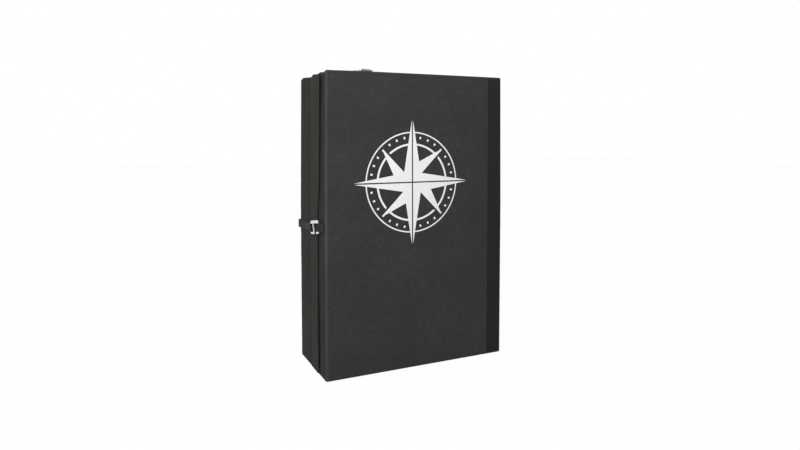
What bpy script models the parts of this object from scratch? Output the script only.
"""A folding bouldering crash pad, standing closed on its short edge.

Two foam-filled halves are joined along the right edge by a fabric hinge and close landing face
to landing face. A flap covers the open left edge, and a strap with a steel hook holds it there
and another holds the top. The back carries shoulder straps and a waist belt.

X is the pad's width, Y its thickness with the back at +Y, Z is up. The origin is the middle of
the rear half's base. All sizes are in metres.
"""

import math

import bmesh
import bpy
from mathutils import Matrix, Vector

# Driving dimensions of the two halves
PAD_WIDTH = 0.610
PAD_HEIGHT = 0.914
HALF_THICKNESS = 0.127
CLOSED_GAP = 0.003
CORNER_RADIUS = 0.006
EDGE_ROUND = 0.005
COVER_THICKNESS = 0.0012
CLEARANCE = 0.0003
FACE_CROWN = 0.0035
GUSSET_BULGE = 0.0025
FOLD_SIDE_BULGE = 0.0008
BASE_FOAM = 0.025
TOP_FOAM = 0.025
LANDING_THICKNESS = 0.001

# Fold hinge along the right edge
FOLD_OFFSET = 0.0055
HINGE_ROLL_RADIUS = 0.0035
HINGE_LEAF_REACH = 0.025
HINGE_END_INSET = 0.016

# Opening flap over the left edge
FLAP_REACH = 0.0725
FLAP_THICKNESS = 0.0016
FLAP_FOOT_INSET = 0.008
FLAP_TOP_INSET = 0.004
FLAP_AXIS_LIFT = 0.0045
FLAP_EDGE_LIFT = 0.0050
FLAP_FLARE = 0.007
FLAP_FLARE_LENGTH = 0.16
FLAP_WIDENING = 0.0145
FLAP_WIDENING_START = 0.020
FLAP_WIDENING_LENGTH = 0.13
FLAP_TOP_STANDOFF = 0.0030
FLAP_HANG_LENGTH = 0.06
FLAP_FREE_HANG = 0.0055
FLAP_REAR_CUT = 0.009
FLAP_REAR_CUT_WIDTH = 0.04
FLAP_BOW_SHARE = 0.4
SEWN_EDGE_TOP_INSET = 0.016
SEWN_EDGE_WIDTH = 0.013
SEWN_EDGE_THICKNESS = 0.0012
SEWN_EDGE_DROP = 0.0008
SEWN_EDGE_LANDS = 0.65

# Closures: webbing, hook and webbing loop
WEBBING_WIDTH = 0.025
WEBBING_THICKNESS = 0.0014
SIDE_CLOSURE_HEIGHT = 0.4410
SIDE_CLOSURE_TILT = 8.0
SIDE_STRAP_REAR_TILT = 0.7
TOP_CLOSURE_X = -0.163
HOOK_LENGTH = 0.0670
HOOK_WINDOW = 0.0256
HOOK_THICKNESS = 0.003
HOOK_BAR = 0.005
HOOK_UPPER_RAIL = 0.0088
HOOK_LOWER_RAIL = 0.0058
HOOK_STEM = 0.0065
HOOK_STEM_TOP = 0.35
HOOK_STEM_FOOT = 0.42
HOOK_LIP = 0.0040
HOOK_MOUTH = 0.0146
HOOK_CUT = 0.0025
HOOK_REAR_CUT = 0.009
HOOK_START = 0.0290
SIDE_HOOK_LIFTS = (0.0130, 0.0090)
TOP_HOOK_LIFTS = (0.0096, 0.0066)
WRAP_PLAY = 0.0012
WRAP_SHIFT = 0.0007
WRAP_LEAD = 0.003
STRAP_START = 0.003
STRAP_FLAT_END = 0.008
STRAP_TAIL_LENGTH = 0.014
STRAP_TAIL_RISE = 0.0016
PLY_GAP = 0.0002
LOOP_SEWN_LENGTH = 0.016
LOOP_EDGE_INSET = 0.006
LOOP_LOWER_LEAD = 0.006
LOOP_LOWER_RISE = 0.0021
LOOP_OVER_BAR = 0.0035
LOOP_UPPER_LEAD = 0.004
LOOP_UPPER_RISE = 0.0032
SIDE_STRAP_BUMP = 0.0065
SIDE_STRAP_LEAVES = 0.030
SIDE_STRAP_CLIMBS = 0.012
SIDE_STRAP_CREST = 0.002
SIDE_STRAP_SWING = 0.0018
SIDE_STRAP_TURN = 0.0030
SIDE_STRAP_LANDS = 0.006
SIDE_STRAP_BACK_LENGTH = 0.040
SIDE_STRAP_BACK_PLAY = 0.0006
TOP_ANCHOR_LENGTH = 0.060
TOP_ANCHOR_FREE = 0.004
TOP_ANCHOR_LANDS = 0.014

# Linking strip down the front face
LINK_STRIP_WIDTH = 0.050
LINK_STRIP_EDGE_INSET = 0.0042
LINK_STRIP_THICKNESS = 0.0012
LINK_STRIP_END_INSET = 0.008

# Zips in the fold-side gussets
ZIP_WIDTH = 0.028
ZIP_THICKNESS = 0.0009
ZIP_LENGTH = 0.860
ZIP_SLIDER_LENGTH = 0.016
ZIP_SLIDER_WIDTH = 0.010
ZIP_SLIDER_THICKNESS = 0.0016
ZIP_SLIDER_NOSE = 0.3
ZIP_SLIDER_SHOULDER = 0.45

# Shoulder straps
STRAP_SPACING = 0.200
STRAP_TOP_HEIGHT = 0.745
STRAP_BOTTOM_HEIGHT = 0.285
STRAP_AXIS_LIFT = 0.0080
STRAP_BOW = 0.050
SHOULDER_PAD_WIDTH = 0.062
SHOULDER_PAD_THICKNESS = 0.013
SHOULDER_LINK_LENGTH = 0.050
SHOULDER_PAD_LENGTH = 0.270
ADJUSTER_LENGTH = 0.030
ADJUSTER_WIDTH = 0.036
ADJUSTER_THICKNESS = 0.004
ADJUSTER_BAR = 0.005
ANCHOR_LENGTH = 0.055
ANCHOR_FREE_LENGTH = 0.006
LINK_FLAT_LENGTH = 0.003
PAD_END_WIDTH = 0.55
PAD_END_LENGTH = 0.2
PAD_SECTION_WIDE = 0.45
PAD_SECTION_HIGH = 0.75
STRAP_BOW_FULLNESS = 0.8
ANCHOR_SHARES = (1.0, 0.6, 0.3)
LOCK_WEB_GAP = 0.0012

# Waist belt
BELT_HEIGHT = 0.205
BELT_AXIS_SPACING = 0.150
BELT_AXIS_LIFT = 0.0115
BELT_WING_LENGTH = 0.120
BELT_WING_WIDTH = 0.060
BELT_WING_THICKNESS = 0.011
BELT_ANCHOR_LENGTH = 0.034
BELT_WEBBING_LENGTH = 0.040
BUCKLE_LENGTH = 0.034
BUCKLE_WIDTH = 0.034
BUCKLE_THICKNESS = 0.009
BUCKLE_WALL = 0.002
BUCKLE_FLOOR = 0.004
PLUG_CLEARANCE = 0.0012
PLUG_BAR = 0.009
PLUG_PRONG = 0.004
PLUG_GUIDE = 0.003
PLUG_FORK = 0.003
PLUG_TIP_START = 0.75
PLUG_GUIDE_REACH = 0.8
WEDGE_TOP_SHARE = 0.4

# Grab handle on top
HANDLE_SPAN = 0.150
HANDLE_RISE = 0.013
HANDLE_FOOT = 0.022
HANDLE_FULLNESS = 0.5

# Mesh detail
CORNER_STEPS = 2
LONG_STEPS = 6
FLAP_STEPS = 6
FLARE_STEPS = 5
WIDENING_STEPS = 4
ARC_STEPS = 6
HANDLE_STEPS = 8
LINK_STEPS = 4
SHOULDER_STEPS = 10
LOWER_WEB_STEPS = 5
SEWN_EDGE_MIDDLE = 0.3
LEAST_COSINE = 0.5
PAD_SIDES = 10
PIVOT_SIZE = 0.03
SHORT_STEPS = 4
EDGE_STEPS = 3
DEPTH_STEPS = 4
FACE_SCALES = (0.80, 0.55, 0.28)
ROUND_SIDES = 12

MID_PLANE = -HALF_THICKNESS / 2 - CLOSED_GAP / 2
REAR_LANDING = -HALF_THICKNESS / 2
FRONT_LANDING = REAR_LANDING - CLOSED_GAP
BACK_FACE = HALF_THICKNESS / 2
FRONT_FACE = FRONT_LANDING - HALF_THICKNESS
HALF_WIDTH = PAD_WIDTH / 2
HALF_HEIGHT = PAD_HEIGHT / 2
FOLD_X = HALF_WIDTH + FOLD_OFFSET

FINISHES = {
    "cover_fabric": ((0.035, 0.036, 0.034), 0.75, 0.0),
    "landing_fabric": ((0.030, 0.031, 0.032), 0.80, 0.0),
    "closed_cell_foam": ((0.10, 0.10, 0.11), 0.85, 0.0),
    "open_cell_foam": ((0.55, 0.52, 0.38), 0.90, 0.0),
    "webbing": ((0.018, 0.018, 0.019), 0.70, 0.0),
    "steel": ((0.62, 0.62, 0.61), 0.28, 1.0),
    "loop_tape": ((0.014, 0.014, 0.014), 0.95, 0.0),
    "zip_tape": ((0.020, 0.020, 0.020), 0.70, 0.0),
    "zip_metal": ((0.30, 0.30, 0.30), 0.35, 1.0),
    "strap_mesh": ((0.025, 0.025, 0.026), 0.85, 0.0),
    "buckle_plastic": ((0.015, 0.015, 0.015), 0.45, 0.0),
}


def clear_scene():
    for obj in list(bpy.data.objects):
        bpy.data.objects.remove(obj, do_unlink=True)


def principled(name, finish):
    colour, roughness, metallic = FINISHES[finish]
    made = bpy.data.materials.new(name + "_" + finish)
    made.use_nodes = True
    shader = made.node_tree.nodes["Principled BSDF"]
    shader.inputs["Base Color"].default_value = (*colour, 1.0)
    shader.inputs["Roughness"].default_value = roughness
    shader.inputs["Metallic"].default_value = metallic
    made.diffuse_color = (*colour, 1.0)
    return made


def pivot(name, place, parent=None):
    """An empty on a joint's axis; what it carries is parented to it."""
    empty = bpy.data.objects.new(name, None)
    empty.empty_display_size = PIVOT_SIZE
    bpy.context.collection.objects.link(empty)
    empty.parent = parent
    base = parent.matrix_world.translation if parent else Vector((0, 0, 0))
    empty.location = Vector(place) - base
    bpy.context.view_layer.update()
    return empty


def add_piece(name, mesh, finish, carrier, smooth_degrees=30):
    """Make an object from a bmesh in world coordinates, with its origin at its carrier's."""
    origin = carrier.matrix_world.translation
    bmesh.ops.recalc_face_normals(mesh, faces=mesh.faces)
    bmesh.ops.translate(mesh, verts=mesh.verts, vec=-origin)
    data = bpy.data.meshes.new(name)
    mesh.to_mesh(data)
    mesh.free()
    data.shade_smooth()
    data.set_sharp_from_angle(angle=math.radians(smooth_degrees))
    obj = bpy.data.objects.new(name, data)
    bpy.context.collection.objects.link(obj)
    obj.parent = carrier
    obj.data.materials.append(principled(name, finish))
    return obj


def loft(rings, closed=False, caps=True):
    """Bridge equal rings of points into one skin."""
    mesh = bmesh.new()
    rows = [[mesh.verts.new(point) for point in ring] for ring in rings]
    count = len(rings[0])
    pairs = list(zip(rows, rows[1:]))
    if closed:
        pairs.append((rows[-1], rows[0]))
    for low, high in pairs:
        for n in range(count):
            after = (n + 1) % count
            mesh.faces.new((low[n], low[after], high[after], high[n]))
    if caps and not closed:
        mesh.faces.new(list(reversed(rows[0])))
        mesh.faces.new(rows[-1])
    return mesh


def prism(outline, holes, depth, place):
    """Extrude a flat outline with holes by depth along its third axis; place maps it."""
    mesh = bmesh.new()
    edges = []
    for line in [outline, *holes]:
        verts = [mesh.verts.new((u, v, 0.0)) for u, v in line]
        edges += [mesh.edges.new(pair) for pair in zip(verts, verts[1:] + verts[:1])]
    bmesh.ops.triangle_fill(mesh, edges=edges, use_beauty=True, use_dissolve=False)
    raised = bmesh.ops.extrude_face_region(mesh, geom=list(mesh.faces), use_keep_orig=True)
    moved = [part for part in raised["geom"] if isinstance(part, bmesh.types.BMVert)]
    bmesh.ops.translate(mesh, verts=moved, vec=(0.0, 0.0, depth))
    bmesh.ops.transform(mesh, matrix=place, verts=mesh.verts)
    return mesh


def ribbon_rings(path, width, thickness, place, closed=False):
    """Rectangular sections along a path of (u, n) points, wide along v."""
    rings = []
    count = len(path)
    for n, (u, lift) in enumerate(path):
        before = path[(n - 1) % count] if closed or n else path[n]
        after = path[(n + 1) % count] if closed or n < count - 1 else path[n]
        ahead = Vector((after[0] - u, after[1] - lift))
        behind = Vector((u - before[0], lift - before[1]))
        ahead = ahead.normalized() if ahead.length else behind.normalized()
        behind = behind.normalized() if behind.length else ahead
        along = (ahead + behind).normalized()
        stretch = 1.0 / max(along.dot(ahead), LEAST_COSINE)
        side = Vector((-along.y, along.x)) * thickness / 2 * stretch
        corners = ((side, -1), (side, 1), (-side, 1), (-side, -1))
        rings.append([place @ Vector((u + s.x, w * width / 2, lift + s.y)) for s, w in corners])
    return rings


def ribbon(path, width, thickness, place, closed=False):
    return loft(ribbon_rings(path, width, thickness, place, closed), closed)


def padded_rings(path, widths, thickness, place):
    """Flat oval sections along a path of (u, v, n) points, each with its own width."""
    rings = []
    for n, point in enumerate(path):
        before = Vector(path[max(n - 1, 0)])
        after = Vector(path[min(n + 1, len(path) - 1)])
        along = (after - before).normalized()
        out = Vector((-along.z, 0.0, along.x)).normalized()
        across = Vector((0.0, 1.0, 0.0))
        ring = []
        for k in range(PAD_SIDES):
            turn = 2 * math.pi * (k + 0.5) / PAD_SIDES
            wide = math.copysign(abs(math.cos(turn)) ** PAD_SECTION_WIDE, math.cos(turn))
            high = math.copysign(abs(math.sin(turn)) ** PAD_SECTION_HIGH, math.sin(turn))
            offset = across * (wide * widths[n] / 2) + out * (high * thickness / 2)
            ring.append(place @ (Vector(point) + offset))
        rings.append(ring)
    return rings


def smooth_step(t):
    t = min(max(t, 0.0), 1.0)
    return t * t * (3 - 2 * t)


def arc(centre, radius, start, end, steps=ARC_STEPS):
    """Points on an arc of (u, n), from start to end degrees."""
    turns = [math.radians(start + (end - start) * k / steps) for k in range(steps + 1)]
    return [(centre[0] + radius * math.cos(a), centre[1] + radius * math.sin(a)) for a in turns]


def face_crown(x, z):
    """How far a crowned outer face stands out of its flat plane."""
    across = min(abs(x) / HALF_WIDTH, 1.0)
    up = min(abs(z - HALF_HEIGHT) / HALF_HEIGHT, 1.0)
    return FACE_CROWN * (1 - across**2) * (1 - up**2)


def gusset_bulge(side, along, depth_share):
    """How far a side wall swells: none at its ends or seams, and none under the base."""
    most = {"left": GUSSET_BULGE, "right": FOLD_SIDE_BULGE, "top": GUSSET_BULGE}.get(side, 0.0)
    return most * (1 - along**2) * 4 * depth_share * (1 - depth_share)


def gusset_lift(side, along, u):
    """Swell of either half's gusset at u from the mid-plane."""
    depth_share = (abs(u) - CLOSED_GAP / 2) / HALF_THICKNESS
    return gusset_bulge(side, along, min(max(depth_share, 0.0), 1.0))


def outline_points():
    """The half's outline: each point with its outward direction, its side and its place on it."""
    points = []
    reach_x = HALF_WIDTH - CORNER_RADIUS
    reach_z = HALF_HEIGHT - CORNER_RADIUS
    walls = (
        ("bottom", (0, -1), SHORT_STEPS, -reach_x, reach_x),
        ("right", (1, 0), LONG_STEPS, -reach_z, reach_z),
        ("top", (0, 1), SHORT_STEPS, reach_x, -reach_x),
        ("left", (-1, 0), LONG_STEPS, reach_z, -reach_z),
    )
    corners = ((1, -1, -90), (1, 1, 0), (-1, 1, 90), (-1, -1, 180))
    for (side, out, steps, start, end), (cx, cz, turn) in zip(walls, corners):
        for k in range(1, steps):
            at = start + (end - start) * k / steps
            x = out[0] * HALF_WIDTH if out[0] else at
            z = out[1] * HALF_HEIGHT if out[1] else at
            points.append((x, z + HALF_HEIGHT, out, side, at / max(abs(start), abs(end))))
        for k in range(CORNER_STEPS + 1):
            a = math.radians(turn + 90 * k / CORNER_STEPS)
            out_c = (math.cos(a), math.sin(a))
            x = cx * reach_x + CORNER_RADIUS * out_c[0]
            z = cz * reach_z + HALF_HEIGHT + CORNER_RADIUS * out_c[1]
            points.append((x, z, out_c, "corner", 1.0))
    return points


def outline_ring(y, inset, depth_share, swell=1.0):
    ring = []
    for x, z, out, side, along in outline_points():
        move = swell * gusset_bulge(side, along, depth_share) - inset
        ring.append(Vector((x + out[0] * move, y, z + out[1] * move)))
    return ring


def crowned_rings(face_y, outward, inset, rounding, swell):
    """The rounded edge and the crowned face, as rings that shrink to the middle."""
    rings = []
    for k in range(EDGE_STEPS + 1):
        turn = math.radians(90) * k / EDGE_STEPS
        in_from_face = rounding * (1 - math.sin(turn))
        depth_share = 1 - in_from_face / HALF_THICKNESS
        y = face_y - outward * in_from_face
        rings.append(outline_ring(y, inset + rounding * (1 - math.cos(turn)), depth_share, swell))
    edge = rings[-1]
    for scale in FACE_SCALES:
        ring = []
        for point in edge:
            x = point.x * scale
            z = HALF_HEIGHT + (point.z - HALF_HEIGHT) * scale
            ring.append(Vector((x, face_y + outward * face_crown(x, z), z)))
        rings.append(ring)
    return rings


def cover(name, landing_y, outward, carrier):
    """A half's sewn cover: an open tray of crowned face and four gussets, rim at the landing."""
    face_y = landing_y + outward * HALF_THICKNESS
    rings = []
    for k in range(DEPTH_STEPS):
        share = k / DEPTH_STEPS
        rings.append(outline_ring(landing_y + outward * share * HALF_THICKNESS, 0.0, share))
    rings += crowned_rings(face_y, outward, 0.0, EDGE_ROUND, 1.0)
    mesh = loft(rings, caps=False)
    mesh.verts.ensure_lookup_table()
    last = list(mesh.verts)[-len(rings[0]) :]
    middle = mesh.verts.new((0.0, face_y + outward * FACE_CROWN, HALF_HEIGHT))
    for n, vert in enumerate(last):
        mesh.faces.new((vert, last[(n + 1) % len(last)], middle))
    obj = add_piece(name, mesh, "cover_fabric", carrier)
    wall = obj.modifiers.new("wall", "SOLIDIFY")
    wall.thickness = COVER_THICKNESS
    wall.offset = -1.0
    wall.use_even_offset = True
    return obj


def slab(name, near_y, far_y, finish, carrier):
    """A flat layer inside a half's cover."""
    inset = COVER_THICKNESS + CLEARANCE
    rings = [outline_ring(y, inset, 0.0) for y in (near_y, far_y)]
    return add_piece(name, loft(rings), finish, carrier)


def crowned_slab(name, near_y, face_y, outward, carrier):
    """The outermost foam layer, rounded and crowned like the cover over it."""
    inset = COVER_THICKNESS + CLEARANCE
    rings = [outline_ring(near_y, inset, 0.0)]
    rings += crowned_rings(face_y - outward * inset, outward, inset, EDGE_ROUND - inset, 0.0)
    return add_piece(name, loft(rings), "closed_cell_foam", carrier)


def half(prefix, landing_y, outward, carrier):
    """One half of the pad: cover, landing panel and three foam layers."""
    cover(prefix + "_cover", landing_y, outward, carrier)
    panel_end = landing_y + outward * LANDING_THICKNESS
    slab(prefix + "_landing_panel", landing_y, panel_end, "landing_fabric", carrier)
    top_start = panel_end + outward * CLEARANCE
    top_end = top_start + outward * TOP_FOAM
    slab(prefix + "_top_foam", top_start, top_end, "closed_cell_foam", carrier)
    face_y = landing_y + outward * HALF_THICKNESS
    base_start = face_y - outward * (COVER_THICKNESS + CLEARANCE + BASE_FOAM)
    core = (top_end + outward * CLEARANCE, base_start - outward * CLEARANCE)
    slab(prefix + "_core_foam", *core, "open_cell_foam", carrier)
    crowned_slab(prefix + "_base_foam", base_start, face_y, outward, carrier)


def box_mesh(low, high):
    mesh = bmesh.new()
    bmesh.ops.create_cube(mesh, size=1.0)
    size = Vector(high) - Vector(low)
    middle = (Vector(high) + Vector(low)) / 2
    bmesh.ops.scale(mesh, verts=mesh.verts, vec=size)
    bmesh.ops.translate(mesh, verts=mesh.verts, vec=middle)
    return mesh


def fold_hinge(rear, front):
    """The fabric hinge: a rolled core on the axis and a leaf sewn to each half's gusset."""
    low = HINGE_END_INSET
    high = PAD_HEIGHT - HINGE_END_INSET
    leaf_in = HALF_WIDTH + FOLD_SIDE_BULGE + CLEARANCE
    leaf_out = FOLD_X - HINGE_ROLL_RADIUS - CLEARANCE
    mesh = bmesh.new()
    middle = Matrix.Translation((FOLD_X, MID_PLANE, HALF_HEIGHT))
    bmesh.ops.create_cone(
        mesh,
        cap_ends=True,
        segments=ROUND_SIDES,
        radius1=HINGE_ROLL_RADIUS,
        radius2=HINGE_ROLL_RADIUS,
        depth=high - low,
        matrix=middle,
    )
    add_piece("hinge_roll", mesh, "webbing", rear)
    starts = CLOSED_GAP / 2 + CLEARANCE
    rear_ends = (MID_PLANE + starts, MID_PLANE + HINGE_LEAF_REACH)
    front_ends = (MID_PLANE - HINGE_LEAF_REACH, MID_PLANE - starts)
    for name, ends, carrier in (
        ("hinge_leaf_rear", rear_ends, rear),
        ("hinge_leaf_front", front_ends, front),
    ):
        mesh = box_mesh((leaf_in, ends[0], low), (leaf_out, ends[1], high))
        add_piece(name, mesh, "webbing", carrier)


def link_strip(carrier):
    """Hook-and-loop strip down the front face's right edge, laid on the crown."""
    right = HALF_WIDTH - LINK_STRIP_EDGE_INSET
    left = right - LINK_STRIP_WIDTH
    low = LINK_STRIP_END_INSET
    high = PAD_HEIGHT - LINK_STRIP_END_INSET
    rings = []
    steps = 2 * LONG_STEPS
    for k in range(steps + 1):
        z = low + (high - low) * k / steps
        ring = []
        for x, lift in ((left, 0), (right, 0), (right, 1), (left, 1)):
            out = face_crown(x, z) + CLEARANCE + lift * LINK_STRIP_THICKNESS
            ring.append(Vector((x, FRONT_FACE - out, z)))
        rings.append(ring)
    add_piece("linking_strip", loft(rings), "loop_tape", carrier)


def zip_and_slider(prefix, middle_y, carrier, slider_carrier):
    """The foam access zip in a half's fold-side gusset, with its slider at the bottom."""
    face = HALF_WIDTH + FOLD_SIDE_BULGE + CLEARANCE
    low = (PAD_HEIGHT - ZIP_LENGTH) / 2
    tape_low = (face, middle_y - ZIP_WIDTH / 2, low)
    tape_high = (face + ZIP_THICKNESS, middle_y + ZIP_WIDTH / 2, low + ZIP_LENGTH)
    add_piece(prefix + "_zip_tape", box_mesh(tape_low, tape_high), "zip_tape", carrier)
    start = face + ZIP_THICKNESS + CLEARANCE
    base = zip_slider_base()
    nose = ZIP_SLIDER_WIDTH * ZIP_SLIDER_NOSE
    shoulder = ZIP_SLIDER_WIDTH / 2
    outline = (
        (-nose, 0.0),
        (nose, 0.0),
        (shoulder, ZIP_SLIDER_LENGTH * ZIP_SLIDER_SHOULDER),
        (nose, ZIP_SLIDER_LENGTH),
        (-nose, ZIP_SLIDER_LENGTH),
        (-shoulder, ZIP_SLIDER_LENGTH * ZIP_SLIDER_SHOULDER),
    )
    place = Matrix(((0, 0, 1, start), (1, 0, 0, middle_y), (0, 1, 0, base), (0, 0, 0, 1)))
    mesh = prism(outline, (), ZIP_SLIDER_THICKNESS, place)
    add_piece(prefix + "_zip_slider", mesh, "zip_metal", slider_carrier)


def zip_slider_base():
    return (PAD_HEIGHT - ZIP_LENGTH) / 2 + ZIP_SLIDER_LENGTH / 2


def side_place(height=0.0, tilt=0.0):
    """Axes on the left edge: u forward, v up, n outward, turned about n by tilt degrees."""
    upright = Matrix(
        ((0, 0, -1, -HALF_WIDTH), (-1, 0, 0, MID_PLANE), (0, 1, 0, height), (0, 0, 0, 1))
    )
    return upright @ Matrix.Rotation(math.radians(tilt), 4, "Z")


def top_place():
    """Closure axes on the top edge: u forward, v right, n up."""
    return Matrix(
        (
            (0, 1, 0, TOP_CLOSURE_X),
            (-1, 0, 0, MID_PLANE),
            (0, 0, 1, PAD_HEIGHT),
            (0, 0, 0, 1),
        )
    )


def hook_lean(lifts):
    """Angle by which the hook climbs from its rear lift to its front lift."""
    return math.atan2(lifts[1] - lifts[0], HOOK_LENGTH)


def hook_middle(along, lifts):
    """Place and height of the hook's middle at a distance along it from its rear end."""
    lean = hook_lean(lifts)
    return HOOK_START + along * math.cos(lean), lifts[0] + along * math.sin(lean)


def hook(name, place, carrier, lifts):
    """A flat steel hook shaped like a G: a closed slot for the strap and an open one."""
    upper, lower = HOOK_WINDOW / 2, -HOOK_WINDOW / 2
    head = upper + HOOK_UPPER_RAIL
    foot = lower - HOOK_LOWER_RAIL
    stem_top = HOOK_LENGTH * HOOK_STEM_TOP
    stem_foot = HOOK_LENGTH * HOOK_STEM_FOOT
    lip = stem_foot + HOOK_LIP
    outline = (
        (0.0, lower),
        (HOOK_REAR_CUT, foot),
        (lip, foot),
        (lip, lower),
        (stem_foot + HOOK_STEM / 2, lower),
        (stem_top + HOOK_STEM / 2, upper),
        (HOOK_LENGTH - HOOK_BAR, upper),
        (HOOK_LENGTH - HOOK_BAR, lower),
        (lip + HOOK_MOUTH, lower),
        (lip + HOOK_MOUTH, foot + HOOK_CUT),
        (lip + HOOK_MOUTH + HOOK_CUT, foot),
        (HOOK_LENGTH - HOOK_CUT, foot),
        (HOOK_LENGTH, foot + HOOK_CUT),
        (HOOK_LENGTH, head - HOOK_CUT),
        (HOOK_LENGTH - HOOK_CUT, head),
        (HOOK_REAR_CUT, head),
        (0.0, upper),
    )
    slot = (
        (HOOK_BAR, lower),
        (HOOK_BAR, upper),
        (stem_top - HOOK_STEM / 2, upper),
        (stem_foot - HOOK_STEM / 2, lower),
    )
    lean = Matrix.Rotation(-hook_lean(lifts), 4, "Y")
    middle = Matrix.Translation((HOOK_START, 0.0, lifts[0]))
    sink = Matrix.Translation((0.0, 0.0, -HOOK_THICKNESS / 2))
    mesh = prism(outline, (slot,), HOOK_THICKNESS, place @ middle @ lean @ sink)
    add_piece(name, mesh, "steel", carrier)


def wrap_radius():
    """Radius of webbing round a hook bar, at the webbing's middle."""
    return HOOK_THICKNESS / 2 + WEBBING_THICKNESS / 2 + WRAP_PLAY


def strap_front(name, place, carrier, start_lift, lifts):
    """The strap's moving end: out along the pad, round the hook's rear bar and back."""
    radius = wrap_radius()
    bar_u, bar_lift = hook_middle(HOOK_BAR / 2, lifts)
    bar = (bar_u + WRAP_SHIFT, bar_lift)
    lead = HOOK_START - WRAP_LEAD
    tail = HOOK_START - STRAP_TAIL_LENGTH
    lower = bar[1] - radius
    climb = (lower - start_lift) / (lead - STRAP_FLAT_END)
    tail_lift = start_lift + climb * (tail - STRAP_FLAT_END)
    tail_lift += WEBBING_THICKNESS + STRAP_TAIL_RISE
    path = [(STRAP_START, start_lift), (STRAP_FLAT_END, start_lift), (lead, lower)]
    path += arc(bar, radius, -90, 90)
    path += [(lead, bar[1] + radius), (tail, tail_lift)]
    add_piece(name, ribbon(path, WEBBING_WIDTH, WEBBING_THICKNESS, place), "webbing", carrier)


def webbing_loop(name, place, carrier, lifts, side, along):
    """The sewn loop on the front half that the hook's front bar sits in."""
    radius = wrap_radius()
    bar_u, bar_lift = hook_middle(HOOK_LENGTH - HOOK_BAR / 2, lifts)
    bar = (bar_u - WRAP_SHIFT, bar_lift)
    seam = MID_PLANE - FRONT_FACE - LOOP_EDGE_INSET
    sewn = seam - LOOP_SEWN_LENGTH
    base = gusset_lift(side, along, sewn) + CLEARANCE + WEBBING_THICKNESS / 2
    ply = WEBBING_THICKNESS + PLY_GAP
    rise = min(bar[1] - radius, base + LOOP_LOWER_RISE)
    path = [(seam, base), (sewn, base), (sewn - LOOP_LOWER_LEAD, rise)]
    path += arc(bar, radius, 270, 90)
    path += [(bar[0] + LOOP_OVER_BAR, bar[1] + radius)]
    path += [(sewn - LOOP_UPPER_LEAD, base + ply + LOOP_UPPER_RISE)]
    path += [(sewn, base + ply), (seam, base + ply)]
    mesh = ribbon(path, WEBBING_WIDTH - 2 * CLEARANCE, WEBBING_THICKNESS, place)
    add_piece(name, mesh, "webbing", carrier)


def sewn_edge_start():
    return -FLAP_THICKNESS / 2 - CLEARANCE


def flap_widening_foot():
    """Height over the side strap where the flap starts to widen."""
    return SIDE_CLOSURE_HEIGHT + FLAP_WIDENING_START


def flap_section(z):
    """The flap's outline at height z: a bead on the axis and two faces out to the edge."""
    near_top = smooth_step(1 - (PAD_HEIGHT - z) / FLAP_FLARE_LENGTH)
    above_hook = smooth_step((z - flap_widening_foot()) / FLAP_WIDENING_LENGTH)
    reach = FLAP_REACH + FLAP_WIDENING * above_hook + FLAP_FLARE * near_top
    standoff = FLAP_TOP_STANDOFF * near_top
    half_thick = FLAP_THICKNESS / 2
    line = []
    for k in range(1, FLAP_STEPS + 1):
        share = k / FLAP_STEPS
        rise = smooth_step(share) * (FLAP_EDGE_LIFT - FLAP_AXIS_LIFT)
        bow = smooth_step(share / FLAP_BOW_SHARE) * standoff
        line.append((reach * share, FLAP_AXIS_LIFT + rise + bow))
    outline = arc((0.0, FLAP_AXIS_LIFT), half_thick, 90, 270)
    outline += [(u, lift - half_thick) for u, lift in line]
    outline += [(u, lift + half_thick) for u, lift in reversed(line)]
    return outline


def flap_hang(u, z):
    """How far the flap's top hangs: at its free corner, and in a slant down to its axis."""
    near_top = smooth_step(1 - (PAD_HEIGHT - z) / FLAP_HANG_LENGTH)
    free = FLAP_FREE_HANG * max(u, 0.0) / FLAP_REACH
    slant = FLAP_REAR_CUT * max(1 - max(u, 0.0) / FLAP_REAR_CUT_WIDTH, 0.0)
    return near_top * (free + slant)


def opening_flap(rear, flap):
    """The flap over the left opening, and the edge by which it is sewn to the rear half."""
    flap_top = PAD_HEIGHT - FLAP_TOP_INSET
    flare_start = PAD_HEIGHT - FLAP_FLARE_LENGTH
    heights = [FLAP_FOOT_INSET, SIDE_CLOSURE_HEIGHT]
    for k in range(WIDENING_STEPS + 1):
        heights.append(flap_widening_foot() + FLAP_WIDENING_LENGTH * k / WIDENING_STEPS)
    for k in range(FLARE_STEPS + 1):
        heights.append(flare_start + (flap_top - flare_start) * k / FLARE_STEPS)
    heights.sort()
    place = side_place()
    rings = []
    for z in heights:
        section = flap_section(z)
        rings.append([place @ Vector((u, z - flap_hang(u, z), lift)) for u, lift in section])
    mesh = loft(rings)
    ends = [face for face in mesh.faces if len(face.verts) > 4]
    bmesh.ops.triangulate(mesh, faces=ends, ngon_method="EAR_CLIP")
    add_piece("opening_flap", mesh, "cover_fabric", flap)
    low_end, high_end = FLAP_FOOT_INSET, PAD_HEIGHT - SEWN_EDGE_TOP_INSET
    path = []
    for share in (0.0, SEWN_EDGE_MIDDLE, SEWN_EDGE_LANDS, 1.0):
        u = sewn_edge_start() - SEWN_EDGE_WIDTH * share
        low = gusset_lift("left", 0.0, u) + CLEARANCE + SEWN_EDGE_THICKNESS / 2
        high = FLAP_AXIS_LIFT - SEWN_EDGE_DROP
        path.append((u, high + (low - high) * smooth_step(share / SEWN_EDGE_LANDS)))
    middle = side_place((low_end + high_end) / 2)
    mesh = ribbon(path, high_end - low_end, SEWN_EDGE_THICKNESS, middle)
    add_piece("flap_sewn_edge", mesh, "cover_fabric", rear)


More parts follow.
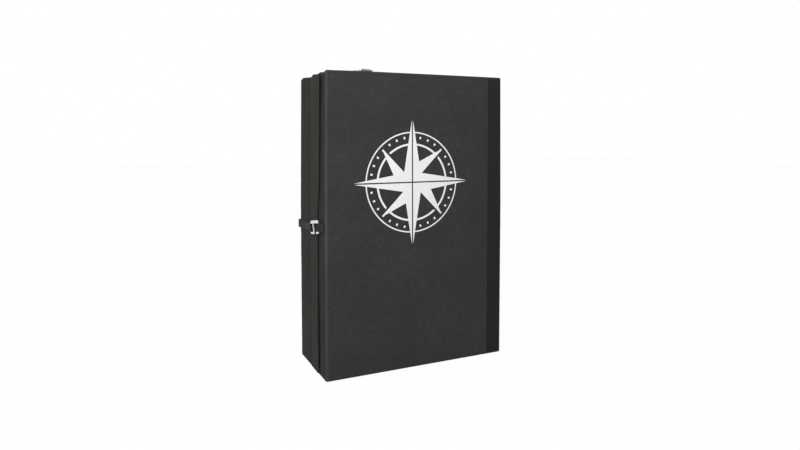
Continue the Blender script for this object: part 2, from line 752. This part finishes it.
def side_closure(rear, front, flap):
    """The side strap: sewn round the rear corner, over the edge and out to its hook."""
    place = side_place(SIDE_CLOSURE_HEIGHT, SIDE_CLOSURE_TILT)
    hook("side_hook", place, flap, SIDE_HOOK_LIFTS)
    half_web = WEBBING_THICKNESS / 2
    on_flap = FLAP_AXIS_LIFT + FLAP_THICKNESS / 2 + CLEARANCE + half_web + PLY_GAP
    strap_front("side_strap_front", place, flap, on_flap, SIDE_HOOK_LIFTS)
    webbing_loop("side_loop", place, front, SIDE_HOOK_LIFTS, "left", 0.0)
    flat = GUSSET_BULGE + CLEARANCE + half_web
    corner = MID_PLANE - BACK_FACE
    behind = corner - CLEARANCE - half_web
    start = sewn_edge_start() - SEWN_EDGE_WIDTH - CLEARANCE
    path = [
        (start, flat),
        (corner + SIDE_STRAP_LEAVES, flat),
        (corner + SIDE_STRAP_CLIMBS, flat + SIDE_STRAP_BUMP / 2),
        (corner + SIDE_STRAP_CREST, SIDE_STRAP_BUMP + half_web),
        (behind - SIDE_STRAP_SWING, SIDE_STRAP_TURN),
        (behind, -SIDE_STRAP_LANDS),
        (behind - SIDE_STRAP_BACK_PLAY, -SIDE_STRAP_BACK_LENGTH),
    ]
    slope = math.tan(math.radians(SIDE_STRAP_REAR_TILT))
    lean = Matrix(((1, 0, 0, 0), (slope, 1, 0, 0), (0, 0, 1, 0), (0, 0, 0, 1)))
    rear_place = side_place(SIDE_CLOSURE_HEIGHT) @ lean
    mesh = ribbon(path, WEBBING_WIDTH, WEBBING_THICKNESS, rear_place)
    add_piece("side_strap_rear", mesh, "webbing", rear)


def top_closure(rear, front, strap):
    """The top strap: sewn to the rear half's top gusset, with its own hook and loop."""
    place = top_place()
    hook("top_hook", place, strap, TOP_HOOK_LIFTS)
    strap_front("top_strap_web", place, strap, FLAP_AXIS_LIFT, TOP_HOOK_LIFTS)
    along = TOP_CLOSURE_X / (HALF_WIDTH - CORNER_RADIUS)
    webbing_loop("top_loop", place, front, TOP_HOOK_LIFTS, "top", along)
    swell = gusset_lift("top", along, TOP_ANCHOR_LENGTH)
    flat = swell + CLEARANCE + WEBBING_THICKNESS / 2
    path = [(STRAP_START - CLEARANCE, FLAP_AXIS_LIFT), (-TOP_ANCHOR_FREE, FLAP_AXIS_LIFT)]
    path += [(-TOP_ANCHOR_LANDS, flat), (-TOP_ANCHOR_LENGTH, flat)]
    mesh = ribbon(path, WEBBING_WIDTH, WEBBING_THICKNESS, place)
    add_piece("top_strap_anchor", mesh, "webbing", rear)


def grab_handle(rear):
    """A webbing handle that arches over the rear half's top gusset."""
    base = GUSSET_BULGE + CLEARANCE + WEBBING_THICKNESS / 2
    half_span = HANDLE_SPAN / 2
    foot = half_span + HANDLE_FOOT
    path = [(-foot, base), (-half_span, base)]
    for k in range(1, HANDLE_STEPS):
        share = k / HANDLE_STEPS
        rise = math.sin(math.pi * share) ** HANDLE_FULLNESS
        path.append((-half_span + HANDLE_SPAN * share, base + HANDLE_RISE * rise))
    path += [(half_span, base), (foot, base)]
    place = Matrix(((1, 0, 0, 0), (0, 1, 0, 0), (0, 0, 1, PAD_HEIGHT), (0, 0, 0, 1)))
    mesh = ribbon(path, WEBBING_WIDTH, WEBBING_THICKNESS, place)
    add_piece("grab_handle", mesh, "webbing", rear)


def back_place(x):
    """Harness axes on the back face: u up, v across, n outward."""
    return Matrix(((0, 1, 0, x), (0, 0, 1, BACK_FACE), (1, 0, 0, 0), (0, 0, 0, 1)))


def strap_anchor(name, x, end_z, direction, carrier):
    """Webbing sewn flat to the back, whose free end stands out to the strap's axis."""
    half_web = WEBBING_THICKNESS / 2
    inner_x = abs(x) - WEBBING_WIDTH / 2
    path = []
    for share in ANCHOR_SHARES:
        z = end_z + direction * ANCHOR_LENGTH * share
        path.append((z, face_crown(inner_x, z) + CLEARANCE + half_web))
    path.append((end_z + direction * ANCHOR_FREE_LENGTH, STRAP_AXIS_LIFT))
    path.append((end_z, STRAP_AXIS_LIFT))
    mesh = ribbon(path, WEBBING_WIDTH, WEBBING_THICKNESS, back_place(x))
    add_piece(name, mesh, "webbing", carrier)


def bow_lift(z):
    """How far a shoulder strap stands off the back at height z."""
    share = (z - STRAP_BOTTOM_HEIGHT) / (STRAP_TOP_HEIGHT - STRAP_BOTTOM_HEIGHT)
    return STRAP_AXIS_LIFT + STRAP_BOW * math.sin(math.pi * share) ** STRAP_BOW_FULLNESS


def shoulder_strap(side, sign, rear, carrier):
    """A shoulder strap: upper link, padded part, adjuster and lower webbing."""
    x = sign * STRAP_SPACING / 2
    place = back_place(x)
    strap_anchor(side + "_upper_anchor", x, STRAP_TOP_HEIGHT + CLEARANCE, 1, rear)
    strap_anchor(side + "_lower_anchor", x, STRAP_BOTTOM_HEIGHT - CLEARANCE, -1, rear)
    pad_top = STRAP_TOP_HEIGHT - SHOULDER_LINK_LENGTH
    pad_foot = pad_top - SHOULDER_PAD_LENGTH
    lock_top = pad_foot - CLEARANCE
    lock_foot = lock_top - ADJUSTER_LENGTH
    flat_end = STRAP_TOP_HEIGHT - LINK_FLAT_LENGTH
    link_foot = pad_top + CLEARANCE
    path = [(STRAP_TOP_HEIGHT, STRAP_AXIS_LIFT), (flat_end, STRAP_AXIS_LIFT)]
    for k in range(1, LINK_STEPS + 1):
        z = flat_end - (flat_end - link_foot) * k / LINK_STEPS
        path.append((z, bow_lift(z)))
    mesh = ribbon(path, WEBBING_WIDTH, WEBBING_THICKNESS, place)
    add_piece(side + "_shoulder_link", mesh, "webbing", carrier)
    spine = []
    widths = []
    for k in range(SHOULDER_STEPS + 1):
        share = k / SHOULDER_STEPS
        z = pad_top - SHOULDER_PAD_LENGTH * share
        spine.append((z, 0.0, bow_lift(z)))
        end = smooth_step(min(share, 1 - share) / PAD_END_LENGTH)
        widths.append(SHOULDER_PAD_WIDTH * (PAD_END_WIDTH + (1 - PAD_END_WIDTH) * end))
    mesh = loft(padded_rings(spine, widths, SHOULDER_PAD_THICKNESS, place))
    add_piece(side + "_shoulder_pad", mesh, "strap_mesh", carrier, 50)
    half_lock = ADJUSTER_WIDTH / 2
    window = half_lock - ADJUSTER_BAR
    slots = []
    slot_depth = (ADJUSTER_LENGTH - 3 * ADJUSTER_BAR) / 2
    for k in range(2):
        low = ADJUSTER_BAR + k * (ADJUSTER_BAR + slot_depth)
        high = low + slot_depth
        slots.append(((low, -window), (low, window), (high, window), (high, -window)))
    outline = (
        (0.0, -half_lock),
        (ADJUSTER_LENGTH, -half_lock),
        (ADJUSTER_LENGTH, half_lock),
        (0.0, half_lock),
    )
    slope = math.atan2(bow_lift(lock_top) - bow_lift(lock_foot), ADJUSTER_LENGTH)
    lean = Matrix.Rotation(-slope, 4, "Y")
    spot = Matrix.Translation((lock_foot, 0.0, bow_lift(lock_foot)))
    sink = Matrix.Translation((0.0, 0.0, -ADJUSTER_THICKNESS / 2))
    mesh = prism(outline, slots, ADJUSTER_THICKNESS, place @ spot @ lean @ sink)
    add_piece(side + "_strap_adjuster", mesh, "buckle_plastic", carrier)
    web_top = lock_foot - LOCK_WEB_GAP
    path = []
    for k in range(LOWER_WEB_STEPS + 1):
        z = web_top - (web_top - STRAP_BOTTOM_HEIGHT) * k / LOWER_WEB_STEPS
        path.append((z, bow_lift(z)))
    mesh = ribbon(path, WEBBING_WIDTH, WEBBING_THICKNESS, place)
    add_piece(side + "_lower_webbing", mesh, "webbing", carrier)


def belt_half(side, sign, rear, carrier):
    """One wing of the waist belt on its wedge anchor, with webbing and a buckle half."""
    axis_x = BELT_AXIS_SPACING / 2
    low = BELT_HEIGHT - BELT_WING_WIDTH / 2
    radius = BELT_WING_THICKNESS / 2
    base = face_crown(0.0, BELT_HEIGHT) + CLEARANCE
    flip = Matrix.Diagonal((sign, 1, 1, 1))
    plan = flip @ Matrix(((1, 0, 0, 0), (0, 1, 0, BACK_FACE), (0, 0, 1, low), (0, 0, 0, 1)))
    near = axis_x - radius - CLEARANCE
    far = near - BELT_ANCHOR_LENGTH
    top = BELT_AXIS_LIFT + radius * WEDGE_TOP_SHARE
    outline = ((far, base), (near, base), (near, top), (far, base + WEBBING_THICKNESS))
    add_piece(side + "_belt_anchor", prism(outline, (), BELT_WING_WIDTH, plan), "webbing", rear)
    end = axis_x + BELT_WING_LENGTH
    outline = arc((axis_x, BELT_AXIS_LIFT), radius, 90, 270)
    outline += arc((end - radius, BELT_AXIS_LIFT), radius, -90, 90)
    mesh = prism(outline, (), BELT_WING_WIDTH, plan)
    add_piece(side + "_belt_wing", mesh, "strap_mesh", carrier, 50)
    start = end + CLEARANCE
    stop = start + BELT_WEBBING_LENGTH
    half_web = WEBBING_THICKNESS / 2
    outline = (
        (start, BELT_AXIS_LIFT - half_web),
        (stop, BELT_AXIS_LIFT - half_web),
        (stop, BELT_AXIS_LIFT + half_web),
        (start, BELT_AXIS_LIFT + half_web),
    )
    raised = Matrix.Translation((0, 0, (BELT_WING_WIDTH - WEBBING_WIDTH) / 2))
    mesh = prism(outline, (), WEBBING_WIDTH, plan @ raised)
    add_piece(side + "_belt_webbing", mesh, "webbing", carrier)
    return stop + CLEARANCE


def buckle_socket(start, carrier):
    """The socket half of the waist buckle: a flat pocket that the prongs enter."""
    half_width = BUCKLE_WIDTH / 2
    half_thick = BUCKLE_THICKNESS / 2
    middle = BACK_FACE + BELT_AXIS_LIFT
    corners = ((-1, -1), (1, -1), (1, 1), (-1, 1))
    rings = []
    for along, wall in (
        (0.0, 0.0),
        (BUCKLE_LENGTH, 0.0),
        (BUCKLE_LENGTH, BUCKLE_WALL),
        (BUCKLE_FLOOR, BUCKLE_WALL),
    ):
        ring = []
        for w, t in corners:
            y = middle + t * (half_thick - wall)
            ring.append(Vector((-start - along, y, BELT_HEIGHT + w * (half_width - wall))))
        rings.append(ring)
    add_piece("left_belt_buckle", loft(rings), "buckle_plastic", carrier)


def buckle_plug(start, carrier):
    """The plug half of the waist buckle: a bar with a middle guide and two prongs."""
    inner = BUCKLE_WIDTH / 2 - BUCKLE_WALL - PLUG_CLEARANCE
    tip_start = BUCKLE_LENGTH * PLUG_TIP_START
    guide_end = BUCKLE_LENGTH * PLUG_GUIDE_REACH
    thickness = BUCKLE_THICKNESS - 2 * BUCKLE_WALL - 2 * CLEARANCE
    outline = (
        (0.0, -BUCKLE_WIDTH / 2),
        (PLUG_BAR, -BUCKLE_WIDTH / 2),
        (PLUG_BAR, -inner),
        (tip_start, -inner),
        (BUCKLE_LENGTH, -inner + PLUG_PRONG),
        (tip_start, -inner + PLUG_PRONG),
        (PLUG_BAR + PLUG_FORK, -inner + PLUG_PRONG),
        (PLUG_BAR, -PLUG_GUIDE),
        (guide_end, -PLUG_GUIDE),
        (guide_end, PLUG_GUIDE),
        (PLUG_BAR, PLUG_GUIDE),
        (PLUG_BAR + PLUG_FORK, inner - PLUG_PRONG),
        (tip_start, inner - PLUG_PRONG),
        (BUCKLE_LENGTH, inner - PLUG_PRONG),
        (tip_start, inner),
        (PLUG_BAR, inner),
        (PLUG_BAR, BUCKLE_WIDTH / 2),
        (0.0, BUCKLE_WIDTH / 2),
    )
    middle = BACK_FACE + BELT_AXIS_LIFT - thickness / 2
    place = Matrix(
        ((1, 0, 0, start), (0, 0, 1, middle), (0, 1, 0, BELT_HEIGHT), (0, 0, 0, 1))
    )
    mesh = prism(outline, (), thickness, place)
    add_piece("right_belt_buckle", mesh, "buckle_plastic", carrier)


def build():
    clear_scene()
    rear = pivot("rear_half", (0, 0, 0))
    front = pivot("fold_pivot", (FOLD_X, MID_PLANE, 0), rear)
    flap = pivot("flap_pivot", (-HALF_WIDTH - FLAP_AXIS_LIFT, MID_PLANE, 0), rear)
    top_at = (TOP_CLOSURE_X, MID_PLANE, PAD_HEIGHT + FLAP_AXIS_LIFT)
    top_strap = pivot("top_strap_pivot", top_at, rear)
    slider_z = zip_slider_base()
    slider_x = HALF_WIDTH + FOLD_SIDE_BULGE
    rear_slider = pivot("rear_zip_slider_path", (slider_x, 0, slider_z), rear)
    front_middle = FRONT_LANDING - HALF_THICKNESS / 2
    front_slider = pivot("front_zip_slider_path", (slider_x, front_middle, slider_z), front)

    half("rear", REAR_LANDING, 1, rear)
    half("front", FRONT_LANDING, -1, front)
    fold_hinge(rear, front)
    link_strip(front)
    zip_and_slider("rear", 0.0, rear, rear_slider)
    zip_and_slider("front", front_middle, front, front_slider)
    opening_flap(rear, flap)
    side_closure(rear, front, flap)
    top_closure(rear, front, top_strap)
    grab_handle(rear)
    for side, sign in (("left", -1), ("right", 1)):
        axis_y = BACK_FACE + STRAP_AXIS_LIFT
        strap_at = (sign * STRAP_SPACING / 2, axis_y, STRAP_TOP_HEIGHT)
        strap = pivot(side + "_shoulder_pivot", strap_at, rear)
        shoulder_strap(side, sign, rear, strap)
        axis_y = BACK_FACE + BELT_AXIS_LIFT
        belt = pivot(side + "_belt_pivot", (sign * BELT_AXIS_SPACING / 2, axis_y, BELT_HEIGHT), rear)
        end = belt_half(side, sign, rear, belt)
        if side == "left":
            buckle_socket(end, belt)
        else:
            buckle_plug(end, belt)


build()
